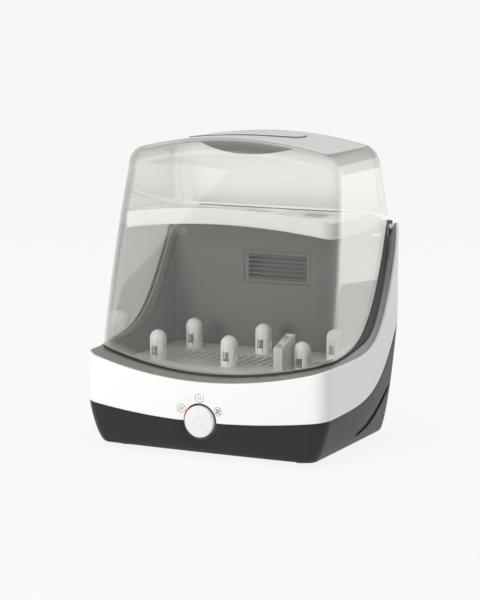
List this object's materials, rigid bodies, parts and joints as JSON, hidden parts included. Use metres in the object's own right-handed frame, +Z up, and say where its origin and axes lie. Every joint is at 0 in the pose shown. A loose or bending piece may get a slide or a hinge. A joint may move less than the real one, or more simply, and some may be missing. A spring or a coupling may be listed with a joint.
{
  "type": "bottle sterilizer",
  "caption": "Counter-top steam bottle sterilizer and dryer: a base with dial, boiler and blower, a clear hinged hood with a white roof, a lift-out upper tray and a lower rack with pegs.",
  "frame": {"origin": "on the surface that the feet stand on, below the middle of the part's box", "axes": "+Z up, the dial faces -Y, +X to the right as seen from the front"},
  "size_m": [0.264, 0.209, 0.3095],
  "materials": {
    "charcoal_plastic": "satin",
    "white_plastic": "gloss",
    "taupe_plastic": "satin gloss",
    "grey_plastic": "matte",
    "black_plastic": "matte",
    "pale_plastic": "satin",
    "clear_plastic": "clear gloss",
    "rubber": "matte",
    "steel": "brushed",
    "circuit_board": "satin",
    "light_guide": "translucent",
    "filter_cloth": "woven"
  },
  "bodies": {
    "base": {"lower_shell": "charcoal_plastic", "base_band": "white_plastic", "rim_trim": "taupe_plastic", "chamber_liner": "grey_plastic", "base_plate": "charcoal_plastic", "rubber_feet": "rubber", "base_screws": "steel", "standoffs": "grey_plastic", "heating_plate": "steel", "plate_seal": "rubber", "heating_element": "steel", "thermostat": "black_plastic", "dial_bezel": "black_plastic", "light_ring": "light_guide", "encoder_body": "steel", "control_board": "circuit_board", "power_board": "circuit_board", "power_inlet": "black_plastic", "fan_housing": "grey_plastic", "fan_motor": "steel", "air_heater": "steel", "air_duct": "grey_plastic", "air_grille": "grey_plastic", "side_vents": "black_plastic", "hinge_brackets": "white_plastic", "hinge_pins": "steel"},
    "hood": {"hood_shell": "clear_plastic", "hood_cap": "white_plastic", "hood_seal": "rubber", "vent_cap": "white_plastic", "vent_housing": "grey_plastic", "hinge_bushes": "grey_plastic"},
    "tray": {"upper_tray": "white_plastic"},
    "rack": {"lower_rack": "pale_plastic", "peg_1": "white_plastic", "peg_2": "white_plastic", "peg_3": "white_plastic", "peg_4": "white_plastic", "peg_5": "white_plastic", "peg_6": "white_plastic"},
    "holder": {"parts_holder": "pale_plastic"},
    "plunger": {"press_collar": "grey_plastic"},
    "dial": {"dial_knob": "white_plastic", "encoder_shaft": "steel"},
    "fan": {"fan_shaft": "steel", "fan_impeller": "black_plastic"},
    "filter": {"filter_cover": "charcoal_plastic", "air_filter": "filter_cloth"}
  },
  "joints": [
    {"name": "hood_hinge", "type": "hinge", "parent": "base", "child": "hood", "pos_m": [0, 0.0945, 0.2135], "axis": [-1, 0, 0], "range_deg": [0, 80]},
    {"name": "tray_lift", "type": "slide", "parent": "base", "child": "tray", "axis": [0, 0, 1], "range_m": [0, 0.004]},
    {"name": "rack_lift", "type": "slide", "parent": "base", "child": "rack", "axis": [0, 0, 1], "range_m": [0, 0.02]},
    {"name": "holder_lift", "type": "slide", "parent": "rack", "child": "holder", "axis": [0, 0, 1], "range_m": [0, 0.02]},
    {"name": "dial_press", "type": "slide", "parent": "base", "child": "plunger", "axis": [0, 1, 0], "range_m": [0, 0.0015], "stiffness_N_per_m": 600, "springref_m": -0.001},
    {"name": "dial_turn", "type": "hinge", "parent": "plunger", "child": "dial", "pos_m": [0, -0.1015, 0.0365], "axis": [0, 1, 0], "range_deg": [0, 110]},
    {"name": "fan_spin", "type": "hinge", "parent": "base", "child": "fan", "pos_m": [0, 0.0865, 0.094], "axis": [0, 1, 0], "continuous": true},
    {"name": "filter_pull", "type": "slide", "parent": "base", "child": "filter", "axis": [0, 1, 0], "range_m": [0, 0.025]}
  ]
}
